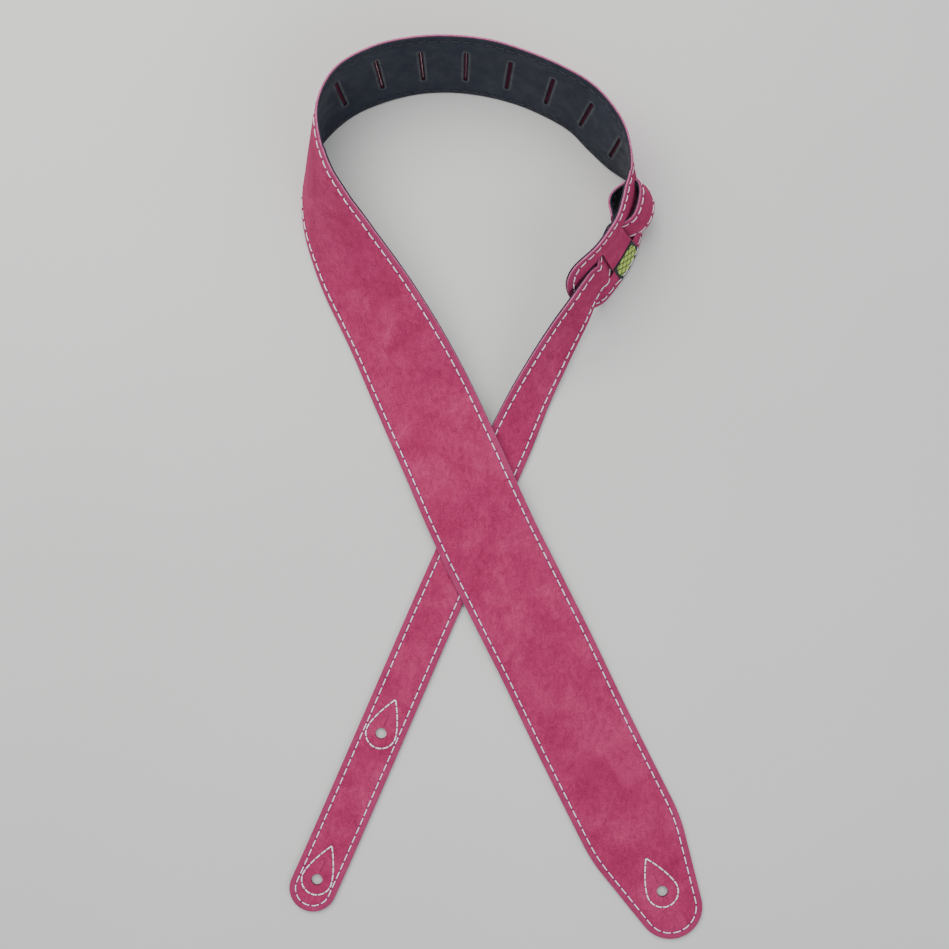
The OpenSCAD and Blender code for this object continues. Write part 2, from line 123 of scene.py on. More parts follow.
# ---- curves and ribbons ----
def smooth(points, t):
    """Places at t on the smooth curve through the points."""
    p = np.vstack([2 * points[0] - points[1], points, 2 * points[-1] - points[-2]])
    t = np.atleast_1d(np.asarray(t, float))
    i = np.clip(np.floor(t).astype(int), 0, len(points) - 2)
    f = (t - i)[:, None]
    a, b, c, d = p[i], p[i + 1], p[i + 2], p[i + 3]
    return (2 * b + (c - a) * f + (2 * a - 5 * b + 4 * c - d) * f ** 2
            + (3 * b - a - 3 * c + d) * f ** 3) / 2


def unit(v):
    """The vectors v, each made one long."""
    return v / np.linalg.norm(v, axis=-1, keepdims=True)


def travelled(places):
    """Distance along the line of places, up to each of them."""
    return np.concatenate([[0], np.cumsum(np.linalg.norm(np.diff(places, axis=0), axis=1))])


def rest_height(tilt, bow, half):
    """Height of the middle above a table that the lower edge rests on."""
    tilt, bow = np.radians(tilt), np.radians(bow)
    k = bow / half
    flat = np.abs(k) < NO_BOW
    safe = np.where(flat, 1.0, k)
    out = np.where(flat, half, np.sin(bow) / safe)
    down = np.where(flat, 0.0, (np.cos(bow) - 1) / safe)
    edge = np.cos(tilt + bow)
    return out * np.sin(tilt) - down * np.cos(tilt) + np.maximum(BACKING * edge, -SUEDE * edge)


def across_of(heading, tilt):
    """Direction across leather that runs along the heading and is tilted, in degrees."""
    side = unit(np.stack([-heading[:, 1], heading[:, 0], 0 * heading[:, 0]], 1))
    tilt = np.radians(tilt)[:, None]
    return np.cos(tilt) * side - np.sin(tilt) * np.array([0, 0, 1.0])


def ripple(s, w):
    """The slight unevenness of leather that doesn't lie quite flat."""
    return RIPPLE * (np.sin(s / 19 + 0.6 * np.sin(w / 23)) * np.cos(w / 17 + s / 71)
                     + np.sin(s / 47 - w / 29 + 1.3)) * np.clip(s / 40, 0, 1)


class Ribbon:
    """Flat leather laid along a curve: distance along, across and out of it to a place."""

    def __init__(self, middle, across, bow, last, per):
        """The curve runs from t = 0 to last. It is measured per times for each whole t, and
        kept as two stations to the millimetre."""
        t = np.arange(per * last + 1) / per
        table = travelled(middle(t))
        self.length = table[-1]
        self.s = np.linspace(0, self.length, int(self.length * 2))
        t = np.interp(self.s, table, t)
        self.middle = middle(t)
        self.along = unit(middle(t + NUDGE) - middle(t - NUDGE))
        self.out = unit(np.cross(self.along, across(t)))
        self.across = np.cross(self.out, self.along)
        self.bow = bow(t)

    def at(self, s):
        """Middle, direction across, direction out, and curvature across, at s along."""
        def pick(a):
            return np.stack([np.interp(s, self.s, a[:, i]) for i in range(3)], -1)
        return (pick(self.middle), unit(pick(self.across)), unit(pick(self.out)),
                np.interp(s, self.s, self.bow))

    def place(self, s, w, a):
        """Place of the point s along, w across and a out of the join between the plies."""
        s, w, a = (np.asarray(x, float) for x in np.broadcast_arrays(s, w, a))
        middle, across, out, k = self.at(s)
        a = a + ripple(s, w)
        flat = np.abs(k) < TINY
        safe = np.where(flat, 1.0, k)
        g = k * w
        side = np.where(flat, w, np.sin(g) / safe) + a * np.sin(g)
        high = np.where(flat, 0.0, (np.cos(g) - 1) / safe) + a * np.cos(g)
        return middle + side[..., None] * across + high[..., None] * out


def main_ribbon():
    """The main strap: flat at the nose, then up on its edge round the loop."""
    def middle(t):
        q = smooth(MAIN_ROUTE, t)
        z = rest_height(q[:, 2], q[:, 3], MAIN_HALF) + q[:, 4]
        return np.column_stack([q[:, :2], z]) - BOX_MIDDLE

    def across(t):
        return across_of(middle(t + NUDGE) - middle(t - NUDGE), smooth(MAIN_ROUTE, t)[:, 2])

    def bow(t):
        return np.radians(smooth(MAIN_ROUTE, t)[:, 3]) / MAIN_HALF
    return Ribbon(middle, across, bow, len(MAIN_ROUTE) - 1, 10)


def tail_ribbon(main, lock_slot):
    """The tail: threaded through the main strap's last slots, then free on the table."""
    middles, sides = [], []
    for ahead, off, lean in THREADED:
        middle, across, out, _ = main.at(np.array([lock_slot + ahead]))
        lean = math.radians(lean)
        middles.append(middle[0] + off * out[0])
        sides.append(math.cos(lean) * across[0] + math.sin(lean) * out[0])
    tilt, lift = FREE_ROUTE[:, 2], FREE_ROUTE[:, 3]
    heading = (np.vstack([FREE_ROUTE[1:], FREE_ROUTE[-1:]])
               - np.vstack([FREE_ROUTE[:1], FREE_ROUTE[:-1]]))
    height = rest_height(tilt, 0 * tilt, TAIL_HALF) + lift
    middles = np.vstack([middles, np.column_stack([FREE_ROUTE[:, :2], height]) - BOX_MIDDLE])
    sides = np.vstack([sides, across_of(heading, tilt)])
    return Ribbon(lambda t: smooth(middles, t), lambda t: smooth(sides, t),
                  lambda t: 0 * t, len(middles) - 1, 20)


MAIN = main_ribbon()


def slot_at(k):
    """Distance of slot k, from 1 to SLOTS, along the main strap."""
    return MAIN.length - TIP_TO_SLOT - PITCH * (SLOTS - k)


TAIL = tail_ribbon(MAIN, slot_at(SLOTS - 1))
LABEL_MIDDLE = slot_at(SLOTS - 1) + PITCH / 2
TAIL_END_HOLE = TAIL.length - TAIL_SETBACK
TAIL_INNER_HOLE = TAIL_END_HOLE - HOLE_GAP


# ---- flat outlines, as closed lines of [along, across] ----
def nose_half(d, r, full):
    """Half the width at d from the nose: a round end, straight flanks, then full width."""
    slope = math.tan(TAPER)
    short = r + (full - r / math.cos(TAPER)) / slope - d
    eased = full - slope * np.clip(short + TAPER_EASE, 0, None) ** 2 / (4 * TAPER_EASE)
    flank = np.where(short > TAPER_EASE, full - short * slope, eased)
    return np.where(d < r * (1 - math.sin(TAPER)), np.sqrt(np.maximum(0, 2 * r * d - d * d)),
                    flank)


def oval_half(d, length, full):
    """Half the width at d from an end that is half an oval of that length."""
    return full * np.sqrt(np.maximum(0, 1 - np.maximum(0, 1 - d / length) ** 2))


def main_half_at(s, inset):
    """Half the main strap's width at s, for the line that runs inset from its edge."""
    return np.minimum(nose_half(s - inset, NOSE_RADIUS - inset, MAIN_HALF - inset),
                      oval_half(MAIN.length - s - inset, TIP_ROUND - inset, MAIN_HALF - inset))


def tail_half_at(s, inset):
    """The same for the tail, which is wider at its inner end."""
    f = np.clip((s - LOCK_TAPER[0]) / (LOCK_TAPER[1] - LOCK_TAPER[0]), 0, 1)
    lock = TAIL_HALF + (LOCK_HALF - TAIL_HALF) * (1 + np.cos(np.pi * f)) / 2
    return np.minimum(oval_half(s - inset, LOCK_ROUND, lock - inset),
                      oval_half(TAIL.length - s - inset, TAIL_HALF - inset, TAIL_HALF - inset))


def closed(line):
    """The line with its first point again at its end."""
    return np.vstack([line, line[:1]])


def respaced(line, step):
    """The same closed line with points about step apart."""
    loop = closed(line)
    far = travelled(loop)
    count = max(8, round(far[-1] / step))
    at = np.arange(count) * far[-1] / count
    return np.column_stack([np.interp(at, far, loop[:, i]) for i in (0, 1)])


def outline(length, half_at, inset, step):
    """A strap's edge, or the line that runs inset from it."""
    ends = END_REACH * (1 - np.cos(np.linspace(0, np.pi / 2, END_STATIONS)))
    between = np.arange(inset + END_REACH + 1, length - inset - END_REACH - 1, 1.0)
    s = np.concatenate([inset + ends, between, length - inset - ends[::-1]])
    half = half_at(s, inset)
    return respaced(np.vstack([np.column_stack([s, -half]),
                               np.column_stack([s, half])[::-1][1:-1]]), step)


def rounded_slot(s, width):
    """A slot across the strap, with rounded corners."""
    r = min(width / 2, SLOT_CORNER)
    turn = np.linspace(0, np.pi / 2, 5)
    corners = []
    for i, (cs, cw) in enumerate([(1, 1), (-1, 1), (-1, -1), (1, -1)]):
        a = turn + i * np.pi / 2
        corners.append(np.column_stack([s + cs * (width / 2 - r) + r * np.cos(a),
                                        cw * (SLOT_LENGTH / 2 - r) + r * np.sin(a)]))
    return respaced(np.vstack(corners), min(SLOT_SPACING, width / 2))


def keyhole(s, way):
    """Round hole with a pointed slit towards way, +1 or -1."""
    half = SLIT_WIDTH / 2
    open_at = math.asin(half / HOLE_R)
    g = np.linspace(open_at, 2 * np.pi - open_at, 40)
    round_part = np.column_stack([HOLE_R * np.cos(g), HOLE_R * np.sin(g)])
    mouth, far = HOLE_R + 0.4, HOLE_R + SLIT_LENGTH
    point = [[far + 0.3, 0]]
    run = np.linspace(mouth, far, 12)
    slit = np.vstack([np.column_stack([run, -half + 0 * run]), point,
                      np.column_stack([run, half + 0 * run])[::-1]])
    return np.vstack([round_part, slit]) * [way, 1] + [s, 0]


def teardrop(s, way, radius):
    """Line of stitches round a button hole, with its point towards way, +1 or -1."""
    f = np.linspace(1, 0, 50)
    g = np.linspace(np.pi / 2, 3 * np.pi / 2, 40)[1:-1]
    side = np.column_stack([DROP_REACH * f, radius * (1 - f ** DROP_FULLNESS)])
    line = np.vstack([side, np.column_stack([radius * np.cos(g), radius * np.sin(g)]),
                      side[:0:-1] * [1, -1]])
    return respaced(line * [way, 1] + [s, 0], STITCH_LINE_SPACING)


def inside(line, p):
    """Which of the points p are inside the closed line."""
    hit = np.zeros(len(p), bool)
    a, b = line, np.roll(line, -1, axis=0)
    for (x0, y0), (x1, y1) in zip(a, b):
        if y0 == y1:
            continue
        crosses = (y0 > p[:, 1]) != (y1 > p[:, 1])
        hit ^= crosses & (p[:, 0] < x0 + (p[:, 1] - y0) * (x1 - x0) / (y1 - y0))
    return hit


def in_leather(rim, holes, p):
    """Which of the points p are inside the rim and in none of the holes."""
    keep = inside(rim, p)
    for hole in holes:
        keep &= ~inside(hole, p)
    return keep


def counterclockwise(line):
    """Whether the closed line runs counterclockwise, seen from the suede side."""
    after = np.roll(line, -1, axis=0)
    return np.sum(line[:, 0] * after[:, 1] - after[:, 0] * line[:, 1]) > 0


def offset(line, distance):
    """The closed line moved to its inner side, or outwards if distance is negative."""
    go = unit(np.roll(line, -1, axis=0) - np.roll(line, 1, axis=0))
    normal = np.column_stack([-go[:, 1], go[:, 0]])
    return line + normal * (distance if counterclockwise(line) else -distance)


def nearest(points, p):
    """Distance from each point of p to the nearest of the points."""
    tree = KDTree(len(points))
    for i, q in enumerate(points):
        tree.insert((q[0], q[1], 0), i)
    tree.balance()
    return np.array([tree.find((q[0], q[1], 0))[2] for q in p])


# ---- seams ----
class Seam:
    """A closed line of stitches on the flat leather."""

    def __init__(self, line, stitch):
        pitch, shown = stitch
        self.line = line
        self.loop = closed(line)
        self.far = travelled(self.loop)
        self.count = max(3, round(self.far[-1] / pitch))
        self.pitch = self.far[-1] / self.count
        self.dash = shown * self.pitch
        self.centres = (np.arange(self.count) + 0.5) * self.pitch

    def at(self, x):
        """Place on the flat leather at x along the seam."""
        x = np.mod(x, self.far[-1])
        return np.stack([np.interp(x, self.far, self.loop[:, i]) for i in (0, 1)], -1)

    def holes(self):
        """The needle holes, at both ends of every stitch."""
        return np.vstack([self.at(self.centres - self.dash / 2),
                          self.at(self.centres + self.dash / 2)])


def seam_distance(seams, p):
    """Distance from each point of p to the nearest seam."""
    return np.min([nearest(respaced(seam.line, SEAM_FINE), p) for seam in seams], axis=0)


def dents(seams, cut, groove, prick, roll):
    """How far a face is pressed in: along seams, at needle holes and towards the cut edge."""
    def depth(p):
        line = seam_distance(seams, p)
        hole = nearest(np.vstack([seam.holes() for seam in seams]), p)
        rim = nearest(respaced(cut, CUT_FINE), p)
        return (groove * np.exp(-(line / SEAM_DENT) ** 2)
                + prick * np.exp(-(hole / SEAM_DENT) ** 2)
                + roll * np.exp(-(rim / EDGE_DENT) ** 2))
    return depth


def undented(p):
    """No dents, for the faces where the two plies meet."""
    return np.zeros(len(p))


# ---- meshes ----
def mesh_object(name, verts, faces, uv, attributes=None):
    """A smooth object from places in millimetres, with a UV and attributes for each point."""
    mesh = bpy.data.meshes.new(name)
    mesh.from_pydata((np.asarray(verts) * MM).tolist(), [], [list(map(int, f)) for f in faces])
    for key, values in (attributes or {}).items():
        layer = mesh.attributes.new(key, "FLOAT", "POINT")
        layer.data.foreach_set("value", np.asarray(values, np.float32))
    layer = mesh.uv_layers.new(name="flat")
    index = np.zeros(len(mesh.loops), np.int32)
    mesh.loops.foreach_get("vertex_index", index)
    layer.data.foreach_set("uv", np.asarray(uv, np.float32)[index].ravel())
    mesh.polygons.foreach_set("use_smooth", [True] * len(mesh.polygons))
    mesh.validate()
    mesh.update()
    obj = bpy.data.objects.new(name, mesh)
    bpy.context.scene.collection.objects.link(obj)
    return obj


def flat_points(rim, holes, seams):
    """Points inside a cut shape: a grid, and finer lines along each seam and round each hole."""
    (s0, w0), (s1, w1) = rim.min(0), rim.max(0)
    s, w = np.meshgrid(np.arange(s0 + 1, s1 - 1, GRID), np.arange(w0 + 1, w1 - 1, GRID))
    s = s + GRID / 2 * (np.arange(s.shape[0]) % 2)[:, None]
    grid = np.column_stack([s.ravel(), w.ravel()])
    lines = np.vstack([respaced(offset(seam.line, shift), SEAM_SPACING)
                       for seam in seams for shift in SEAM_SHIFTS]
                      + [respaced(offset(hole, -shift), HOLE_SPACING)
                         for hole in holes for shift in HOLE_SHIFTS])
    grid = np.vstack([grid[nearest(lines, grid) > KEEP_OFF_LINES * GRID], lines])
    grid = grid[nearest(np.vstack([rim] + holes), grid) > KEEP_OFF_EDGES]
    return grid[in_leather(rim, holes, grid)]


def triangulate(rim, holes, points):
    """Triangles of a flat shape with holes: (points, triangles, start of each contour)."""
    contours = [rim] + holes
    starts = np.concatenate([[0], np.cumsum([len(c) for c in contours])])
    flat = np.vstack(contours + [points])
    edges = [(int(a + i), int(a + (i + 1) % len(c)))
             for a, c in zip(starts, contours) for i in range(len(c))]
    out = delaunay_2d_cdt([Vector(p) for p in flat.tolist()], edges, [], 0, TINY)
    made_tris, origins = out[2], out[3]
    back = np.array([o[0] if o else -1 for o in origins])
    tris = back[np.array(made_tris)]
    tris = tris[(tris >= 0).all(1)]
    tris = tris[in_leather(rim, holes, flat[tris].mean(1))]
    a, b, c = (flat[tris[:, i]] for i in range(3))
    turn = (b[:, 0] - a[:, 0]) * (c[:, 1] - a[:, 1]) - (b[:, 1] - a[:, 1]) * (c[:, 0] - a[:, 0])
    tris[turn < 0] = tris[turn < 0][:, ::-1]
    return flat, tris, starts


def ply(name, ribbon, cut, holes, seams, levels, edge_round, dent_high, dent_low):
    """A cut piece of leather between two levels, with softened edges round every cut.

    Each point also carries distances to the outer cut (edge), to a seam and to a hole (slot),
    how far it is down a cut edge (cut, 0 to 1), and whether it is on the lower face (lower).
    """
    low, high = levels
    inner = [offset(cut, edge_round)] + [offset(hole, -HOLE_ROUND) for hole in holes]
    flat, tris, starts = triangulate(inner[0], inner[1:], flat_points(inner[0], inner[1:], seams))
    n = len(flat)
    top, bottom = high - dent_high(flat), low + dent_low(flat)
    verts = [ribbon.place(flat[:, 0], flat[:, 1], top),
             ribbon.place(flat[:, 0], flat[:, 1], bottom)]
    faces = [tris, tris[:, ::-1] + n]
    where, cut_value = [flat, flat], [np.zeros(n), np.zeros(n)]
    base = 2 * n
    for i, (outer, line) in enumerate(zip([cut] + holes, inner)):
        m = len(outer)
        ids = starts[i] + np.arange(m)
        radius = HOLE_ROUND if i else edge_round
        rings = [ids]
        # rings over the softened edge: share of the way out, and rise in radii
        for face, share, rise in ((top, 0.7, -0.3), (top, 1, -1),
                                  (bottom, 1, 1), (bottom, 0.7, 0.3)):
            p = line + (outer - line) * share
            verts.append(ribbon.place(p[:, 0], p[:, 1], face[ids] + radius * rise))
            rings.append(base + np.arange(m))
            base += m
            where.append(p)
            cut_value.append(np.full(m, share))
        rings.append(ids + n)
        strips = [np.column_stack([a, b, np.roll(b, -1), np.roll(a, -1)])
                  for a, b in zip(rings, rings[1:])]
        outward = counterclockwise(outer) == (i == 0)
        faces += strips if outward else [quads[:, ::-1] for quads in strips]
    where = np.vstack(where)
    attributes = {"edge": nearest(respaced(cut, CUT_FINE), where),
                  "cut": np.concatenate(cut_value),
                  "seam": seam_distance(seams, where),
                  "lower": (np.arange(len(where)) // n == 1) * 1.0,
                  "slot": nearest(np.vstack(holes), where)}
    face_list = [f for part in faces for f in part.tolist()]
    return mesh_object(name, np.vstack(verts), face_list, where / FLAT_UV, attributes)


def tube_faces(rings, sides):
    """Quads between the rings of a tube, then its two ends."""
    faces = []
    for i in range(rings - 1):
        near, far = i * sides, (i + 1) * sides
        for j in range(sides):
            after = (j + 1) % sides
            faces.append([near + j, near + after, far + after, far + j])
    first, last = range(sides), range((rings - 1) * sides, rings * sides)
    return faces + [list(first)[::-1], list(last)]


def stitches(name, ribbon, seam, base, side, radius, lift=None):
    """Separate stitches of twisted thread, each diving into its two needle holes."""
    u = np.linspace(-1, 1, STITCH_RINGS)
    x = seam.centres[:, None] + u * seam.dash / 2
    p = seam.at(x)
    go = unit(seam.at(x + 0.05) - seam.at(x - 0.05))
    # the middle stands off the face, and the ends dive through it and close
    arch = radius * (0.75 - 2.1 * np.abs(u) ** 5)
    thick = radius * np.sqrt(np.clip(1.04 - np.abs(u) ** 8, 0.04, 1))
    g = np.linspace(0, 2 * np.pi, STITCH_SIDES, endpoint=False)
    # two strands make each ring an oval that turns along the stitch
    twist = 1 + 0.13 * np.cos(2 * g[None, :] - 9 * u[:, None])
    r = thick[:, None] * twist
    over = np.cos(g)[None, :] * r
    up = np.sin(g)[None, :] * r * 0.85 + arch[:, None]
    s = p[..., 0, None] - go[..., 1, None] * over
    w = p[..., 1, None] + go[..., 0, None] * over
    rise = np.zeros(s.shape) if lift is None else lift(p)[..., None]
    verts = ribbon.place(s, w, base + side * (up[None] + rise)).reshape(-1, 3)
    tube = tube_faces(STITCH_RINGS, STITCH_SIDES)
    if side > 0:
        tube = [face[::-1] for face in tube]
    faces = [[k * STITCH_RINGS * STITCH_SIDES + v for v in face]
             for k in range(seam.count) for face in tube]
    along = np.broadcast_to(x[..., None], s.shape).reshape(-1)
    around = np.broadcast_to(g[None, None, :], s.shape).reshape(-1)
    return mesh_object(name, verts, faces, np.column_stack([along / THREAD_UV,
                                                           around / math.tau]))


# ---- shader nodes ----
MIX_FACTOR, MIX_A, MIX_B, MIX_RESULT = 0, 6, 7, 2      # colour sockets of the Mix node


def feed(tree, made, inputs):
    """Link each input to its socket, or set it where it is a plain value."""
    for key, value in inputs.items():
        if hasattr(value, "is_output"):
            tree.links.new(value, made.inputs[key])
        else:
            made.inputs[key].default_value = value


def new_material(name):
    material = bpy.data.materials.new(name)
    material.use_nodes = True
    tree = material.node_tree
    return material, tree, tree.nodes["Principled BSDF"]


def node(tree, kind, inputs=None, **settings):
    made = tree.nodes.new("ShaderNode" + kind)
    for key, value in settings.items():
        setattr(made, key, value)
    feed(tree, made, inputs or {})
    return made


def place_of(tree):
    """Place in the object's own metres, which the noises are scaled to."""
    return node(tree, "TexCoord").outputs["Object"]


def flat_uv(tree):
    """Place on the flat label, or along and round a thread."""
    return node(tree, "UVMap", uv_map="flat").outputs["UV"]


def spots(tree, scale, detail, rough, stretch=None, distort=0.0):
    """Noise from 0 to 1."""
    vector = place_of(tree)
    if stretch:
        vector = node(tree, "Mapping", {"Vector": vector, "Scale": stretch}).outputs["Vector"]
    return node(tree, "TexNoise", {"Vector": vector, "Scale": scale, "Detail": detail,
                                   "Roughness": rough, "Distortion": distort}).outputs["Fac"]


def ramp(tree, fac, stops):
    made = node(tree, "ValToRGB", {"Fac": fac})
    ends = made.color_ramp.elements
    while len(ends) < len(stops):
        ends.new(0.5)
    for item, (at, colour) in zip(ends, stops):
        item.position = at
        item.color = (*colour, 1)
    return made.outputs["Color"]


def remap(tree, value, a, b, c=0.0, d=1.0):
    """The value's way from a to b, as a way from c to d that stops at both."""
    return node(tree, "MapRange", {"Value": value, "From Min": a, "From Max": b,
                                   "To Min": c, "To Max": d}).outputs["Result"]


def blend(tree, fac, a, b, mode="MIX"):
    """Colour a with colour b over it, by fac; a colour is a socket or three numbers."""
    a, b = (c if hasattr(c, "is_output") else (*c, 1) for c in (a, b))
    made = node(tree, "Mix", data_type="RGBA", blend_type=mode)
    feed(tree, made, {MIX_FACTOR: fac, MIX_A: a, MIX_B: b})
    return made.outputs[MIX_RESULT]


def attribute(tree, name):
    return node(tree, "Attribute", attribute_name=name).outputs["Fac"]


def bump(tree, height, distance, strength, normal=None):
    inputs = {"Height": height, "Distance": distance, "Strength": strength}
    if normal is not None:
        inputs["Normal"] = normal
    return node(tree, "Bump", inputs).outputs["Normal"]


def maths(tree, operation, a, b=0.0, c=0.0):
    return node(tree, "Math", {0: a, 1: b, 2: c}, operation=operation).outputs[0]


def groove(tree, strength):
    """How far the colour is that of a pressed seam, with painted shade in its groove."""
    return maths(tree, "MULTIPLY", remap(tree, attribute(tree, "seam"), 1.1, 0.3), strength)


def on_cut_edge(tree):
    """How far the colour is that of a cut edge."""
    return remap(tree, attribute(tree, "cut"), 0.35, 0.8)


# ---- materials ----
def suede_material():
    """Raspberry nap in three sizes of patch, worn near the edges, with a raw cut edge."""
    material, tree, shader = new_material("raspberry_suede")
    patches = spots(tree, 42, 3, 0.6, distort=0.6)
    colour = ramp(tree, patches, [(0.30, (0.31, 0.024, 0.085)), (0.50, (0.362, 0.032, 0.105)),
                                  (0.70, (0.42, 0.045, 0.130))])
    strokes = spots(tree, 260, 4, 0.7, stretch=(1.0, 0.55, 1.0), distort=1.2)
    colour = blend(tree, 0.65, colour, ramp(tree, strokes, [
        (0.30, (0.66, 0.62, 0.64)), (0.52, (1.0, 1.0, 1.0)), (0.72, (1.24, 1.3, 1.28))]),
        "MULTIPLY")
    fibres = spots(tree, 1100, 3, 0.7)
    colour = blend(tree, 0.7, colour, ramp(tree, fibres, [
        (0.32, (0.74, 0.70, 0.72)), (0.68, (1.2, 1.26, 1.24))]), "MULTIPLY")

    # between the seam and the edge the nap lies flatter and greyer
    wander = maths(tree, "MULTIPLY_ADD", spots(tree, 180, 3, 0.6), 1.6, -0.8)
    gap = maths(tree, "ADD", attribute(tree, "edge"), wander)
    band = maths(tree, "MULTIPLY", remap(tree, gap, 3.9, 2.2), 0.45)
    colour = blend(tree, band, colour, (0.29, 0.047, 0.120))
    # painted shade along the seam's pressed groove
    colour = blend(tree, groove(tree, 0.6), colour, (0.13, 0.02, 0.10))

    # raw cut edges, with painted shade on their walls inside the slots, and the dark lower face
    raw = spots(tree, 900, 3, 0.7)
    edge_colour = ramp(tree, raw, [(0.35, (0.33, 0.07, 0.17)), (0.65, (0.50, 0.16, 0.28))])
    edge_colour = blend(tree, remap(tree, attribute(tree, "slot"), 1.2, 0.6), edge_colour,
                        (0.10, 0.018, 0.045))
    colour = blend(tree, on_cut_edge(tree), colour, edge_colour)
    colour = blend(tree, attribute(tree, "lower"), colour, (0.05, 0.010, 0.022))

    nap = bump(tree, spots(tree, 1500, 4, 0.7), 0.0005, 0.6)
    normal = bump(tree, spots(tree, 220, 3, 0.6, distort=1.0), 0.0010, 0.35, nap)
    feed(tree, shader, {"Base Color": colour, "Roughness": 0.95, "Specular IOR Level": 0.06,
                        "Sheen Weight": 0.10, "Sheen Roughness": 0.5,
                        "Sheen Tint": (1.0, 0.35, 0.6, 1), "Normal": normal})
    return material


def lining_material():
    """Smooth navy leather, rubbed pale round the slots, with painted shade at their lips."""
    material, tree, shader = new_material("navy_lining_leather")
    colour = ramp(tree, spots(tree, 45, 3, 0.55), [(0.3, (0.008, 0.0115, 0.024)),
                                                   (0.7, (0.014, 0.019, 0.036))])
    rubbed = maths(tree, "MULTIPLY", remap(tree, attribute(tree, "slot"), 2.3, 1.1),
                   remap(tree, spots(tree, 300, 3, 0.6), 0.25, 0.55))
    colour = blend(tree, maths(tree, "MULTIPLY", rubbed, 0.75), colour, (0.085, 0.088, 0.098))
    # painted shade: darker right at the lips of the slots
    colour = blend(tree, remap(tree, attribute(tree, "slot"), 0.9, 0.3), colour,
                   (0.006, 0.007, 0.012))
    # painted shade along the seam's pressed groove
    colour = blend(tree, groove(tree, 0.5), colour, (0.004, 0.004, 0.009))
    colour = blend(tree, on_cut_edge(tree), colour, (0.010, 0.011, 0.022))
    rough = remap(tree, spots(tree, 120, 3, 0.6), 0.3, 0.7, 0.5, 0.68)
    grain = node(tree, "TexVoronoi", {"Vector": place_of(tree), "Scale": 900.0,
                                      "Randomness": 1.0}, feature="DISTANCE_TO_EDGE")
    cells = bump(tree, remap(tree, grain.outputs["Distance"], 0.0, 0.25), 0.0002, 0.45)
    normal = bump(tree, spots(tree, 160, 3, 0.6), 0.0008, 0.25, cells)
    feed(tree, shader, {"Base Color": colour, "Roughness": rough, "Specular IOR Level": 0.28,
                        "Normal": normal})
    return material


def thread_material(name, dark, light):
    """Twisted thread, from a dark to a light colour."""
    material, tree, shader = new_material(name)
    colour = ramp(tree, spots(tree, 2600, 3, 0.6), [(0.35, dark), (0.6, light)])
    plait = node(tree, "TexWave", {"Vector": flat_uv(tree), "Scale": 6.0, "Distortion": 0.6,
                                   "Detail": 1.0}, wave_type="BANDS", bands_direction="DIAGONAL")
    feed(tree, shader, {"Base Color": colour, "Roughness": 0.6, "Sheen Weight": 0.2,
                        "Normal": bump(tree, plait.outputs["Fac"], 0.00015, 0.5)})
    return material


def label_material():
    """Black ribbon with a lime field of plain lozenges, woven in fine ribs."""
    material, tree, shader = new_material("woven_label")
    uv = node(tree, "SeparateXYZ", {"Vector": flat_uv(tree)})
    u, v = uv.outputs["X"], uv.outputs["Y"]

    def wrapped(value, times):
        part = maths(tree, "FRACT", maths(tree, "MULTIPLY", value, times))
        return maths(tree, "ABSOLUTE", maths(tree, "SUBTRACT", part, 0.5))

    def from_middle(value, reach):
        off = maths(tree, "ABSOLUTE", maths(tree, "SUBTRACT", value, 0.5))
        return maths(tree, "POWER", maths(tree, "DIVIDE", off, reach), 3.0)
    lozenge = maths(tree, "ADD", wrapped(u, 4.0), wrapped(v, 3.0))
    ring = maths(tree, "ABSOLUTE", maths(tree, "SUBTRACT", lozenge, 0.5))
    spread = maths(tree, "ADD", from_middle(u, 0.43), from_middle(v, 0.41))
    field = maths(tree, "MULTIPLY", remap(tree, ring, 0.07, 0.13),
                  remap(tree, spread, 1.0, 0.96))
    weft, warp = wrapped(u, 46.0), wrapped(v, 42.0)
    broken = remap(tree, spots(tree, 1900, 2, 0.6), 0.30, 0.42)
    lime = ramp(tree, weft, [(0.0, (0.30, 0.46, 0.04)), (0.5, (0.66, 0.88, 0.16))])
    black = ramp(tree, warp, [(0.0, (0.004, 0.005, 0.007)), (0.5, (0.018, 0.024, 0.024))])
    colour = blend(tree, maths(tree, "MULTIPLY", field, broken), black, lime)
    weave = maths(tree, "ADD", weft, maths(tree, "MULTIPLY", warp, 0.7))
    feed(tree, shader, {"Base Color": colour, "Roughness": 0.75, "Specular IOR Level": 0.2,
                        "Sheen Weight": 0.1, "Normal": bump(tree, weave, 0.00025, 0.8)})
    return material


def floor_material():
    material, tree, shader = new_material("pale_floor")
    tone = ramp(tree, spots(tree, 3, 2, 0.5), [(0.3, (0.60, 0.60, 0.58)),
                                               (0.7, (0.64, 0.64, 0.62))])
    feed(tree, shader, {"Base Color": tone, "Roughness": 0.85})
    return material


# ---- the pieces ----
def main_slots(free_width):
    """All slots of the main strap: the free ones, then those that hold the tail."""
    return [rounded_slot(slot_at(k), OPEN_WIDTH if k > SLOTS - HELD_OPEN else free_width)
            for k in range(1, SLOTS + 1)]


def all_seams():
    """The seams of each part: its edge, then the teardrop round each button hole."""
    def edge(length, half_at, inset, stitch):
        return Seam(outline(length, half_at, inset, STITCH_LINE_SPACING), stitch)
    main = [edge(MAIN.length, main_half_at, MAIN_INSET, MAIN_STITCH),
            Seam(teardrop(BUTTON_SETBACK, 1, MAIN_DROP), DROP_STITCH)]
    tail = [edge(TAIL.length, tail_half_at, TAIL_INSET, TAIL_STITCH),
            Seam(teardrop(TAIL_END_HOLE, -1, TAIL_DROP), DROP_STITCH),
            Seam(teardrop(TAIL_INNER_HOLE, -1, TAIL_DROP), DROP_STITCH)]
    return main, tail


